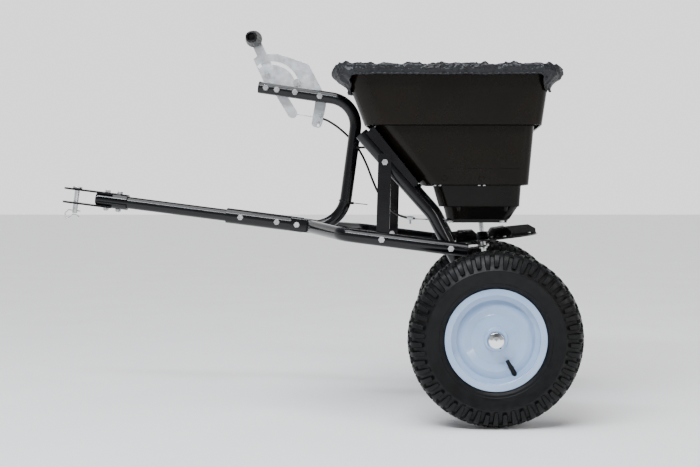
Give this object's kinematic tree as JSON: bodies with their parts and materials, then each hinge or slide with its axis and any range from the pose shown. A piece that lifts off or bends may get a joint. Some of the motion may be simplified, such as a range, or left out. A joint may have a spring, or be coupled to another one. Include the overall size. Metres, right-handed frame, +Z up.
{
  "type": "tow-behind broadcast spreader",
  "caption": "Tow-behind garden broadcast spreader: covered hopper on a tube frame, two wheels driving a spinning disc, flow lever and pin hitch.",
  "frame": {"origin": "on the ground, under the middle of the object's box, between the wheels and the hitch", "axes": "+X from the hitch back to the wheels, +Y to the machine's right, +Z up"},
  "size_m": [1.2862, 0.745, 0.9429],
  "materials": {
    "black_paint": "gloss black powder coat on steel tube and plate",
    "zinc": "bright zinc-plated fasteners",
    "zinc_plate": "bright zinc-plated flat steel",
    "galvanised": "galvanised sheet steel",
    "wire_steel": "stranded steel wire",
    "bright_steel": "bright drawn steel bar",
    "gear_metal": "die-cast gear metal, lightly greased",
    "chrome": "polished chrome cap",
    "hopper_plastic": "semi-gloss moulded black polyethylene",
    "black_plastic": "black moulded plastic",
    "cable_jacket": "black cable jacket",
    "nylon": "natural nylon",
    "rim_enamel": "pale blue-white enamel",
    "tyre_rubber": "black tyre rubber",
    "valve_rubber": "black rubber",
    "cover_fabric": "coated black-grey cloth"
  },
  "bodies": {
    "root": {"tongue_tube": "black_paint", "tongue_sleeve": "black_paint", "hitch_plate_upper": "black_paint", "hitch_plate_lower": "black_paint", "hitch_bolts": "zinc", "handle_tube": "black_paint", "handle_crossbar": "black_paint", "frame_tube_left": "black_paint", "frame_tube_right": "black_paint", "leg_tube_left": "black_paint", "leg_tube_right": "black_paint", "upright_left": "black_paint", "upright_right": "black_paint", "hopper_support_left": "black_paint", "hopper_support_right": "black_paint", "cross_plate": "black_paint", "frame_bolts": "zinc", "tongue_bolts": "zinc", "tube_plugs": "black_plastic", "control_plate": "zinc_plate", "control_bolts": "zinc", "cable_bracket": "galvanised", "cable_sheath": "cable_jacket", "cable_wire_front": "wire_steel", "cable_wire_rear": "wire_steel", "cable_clamp": "galvanised", "cable_tie": "black_plastic", "hopper": "hopper_plastic", "hopper_base": "black_paint", "gate_guides": "black_paint", "hopper_bolts": "zinc", "shaft_bushes": "nylon", "gear_bracket": "black_paint", "gear_bracket_bolts": "zinc", "axle_bushes": "nylon"},
    "lever": {"flow_lever": "zinc_plate", "lever_knob": "black_plastic"},
    "stop": {"stop_bolt": "zinc"},
    "gate": {"gate_plate": "galvanised"},
    "pin": {"hitch_pin": "zinc"},
    "clip": {"hairpin_clip": "zinc"},
    "impeller": {"impeller_shaft": "bright_steel", "impeller_disc": "black_paint", "impeller_vanes": "black_paint", "impeller_pins": "zinc", "agitator": "bright_steel", "pinion_gear": "gear_metal"},
    "axle_and_left_wheel": {"axle": "bright_steel", "drive_gear": "gear_metal", "axle_pins": "zinc", "wheel_rim_left": "rim_enamel", "tyre_left": "tyre_rubber", "valve_stem_left": "valve_rubber", "hub_cap_left": "chrome"},
    "right_wheel": {"wheel_rim_right": "rim_enamel", "tyre_right": "tyre_rubber", "valve_stem_right": "valve_rubber", "hub_cap_right": "chrome"},
    "cover": {"rain_cover": "cover_fabric"}
  },
  "joints": [
    {"name": "axle_turn", "type": "hinge", "parent": "root", "child": "axle_and_left_wheel", "pos_m": [0.4432, 0, 0.2], "axis": [0, 1, 0], "continuous": true},
    {"name": "right_wheel_turn", "type": "hinge", "parent": "axle_and_left_wheel", "child": "right_wheel", "pos_m": [0.4432, 0.32, 0.2], "axis": [0, 1, 0], "continuous": true},
    {"name": "impeller_turn", "type": "hinge", "parent": "root", "child": "impeller", "pos_m": [0.4432, 0, 0.2], "axis": [-0.0993, 0, 0.9951], "continuous": true},
    {"name": "flow_lever_swing", "type": "hinge", "parent": "root", "child": "lever", "pos_m": [-0.0979, 0.0217, 0.7907], "axis": [0, 1, 0], "range_deg": [0, 55], "deforming": ["cable_wire_front"]},
    {"name": "gate_slide", "type": "slide", "parent": "root", "child": "gate", "axis": [-1, 0, 0], "range_m": [0, 0.0505], "deforming": ["cable_wire_rear"]},
    {"name": "stop_adjust", "type": "hinge", "parent": "root", "child": "stop", "pos_m": [-0.1152, 0.0177, 0.7953], "axis": [0, 1, 0], "range_deg": [-9, 0]},
    {"name": "hitch_pin_lift", "type": "slide", "parent": "root", "child": "pin", "axis": [0.1274, 0, 0.9919], "range_m": [0, 0.012]},
    {"name": "clip_pull", "type": "slide", "parent": "pin", "child": "clip", "axis": [-0.9919, 0, 0.1274], "range_m": [0, 0.045]},
    {"name": "cover_lift", "type": "slide", "parent": "root", "child": "cover", "axis": [0, 0, 1], "range_m": [0, 0.3]}
  ],
  "couplings": [
    {"joint": "impeller_turn", "follows": "axle_turn", "ratio": -3.3333},
    {"joint": "gate_slide", "follows": "flow_lever_swing", "m_per_rad": 0.052087}
  ]
}
